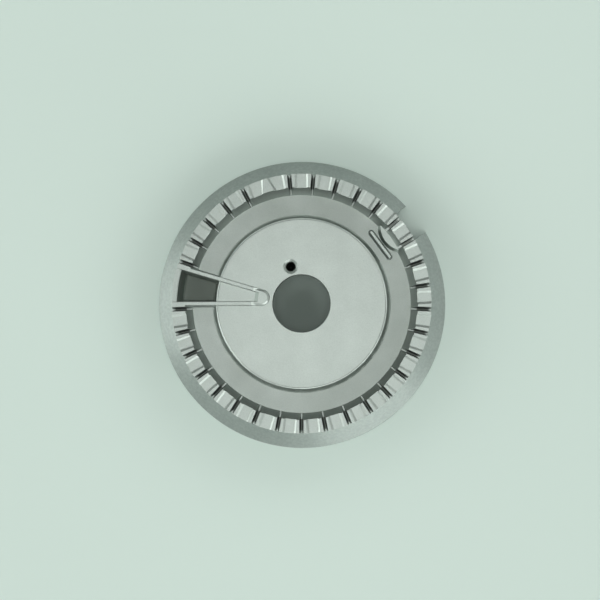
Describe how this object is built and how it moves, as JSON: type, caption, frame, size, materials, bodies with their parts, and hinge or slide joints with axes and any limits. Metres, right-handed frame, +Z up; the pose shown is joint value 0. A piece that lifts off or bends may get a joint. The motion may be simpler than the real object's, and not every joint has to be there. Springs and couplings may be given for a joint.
{
  "type": "gas burner head",
  "caption": "Cast gas burner head: sloping skirt, ring of tapered flame ports round a deep gutter and raised deck, simmer chamber, electrode notch and central throat.",
  "frame": {"origin": "axis of the throat at the plane that the rim stands on", "axes": "+Z up along the throat axis, towards the plane that the cap sits on; the electrode notch lies between +X and +Y"},
  "size_m": [0.1168, 0.1168, 0.019],
  "materials": {
    "cast_aluminium": "fine blasted die casting, satin"
  },
  "bodies": {
    "root": {"burner_head": "cast_aluminium"}
  },
  "joints": []
}
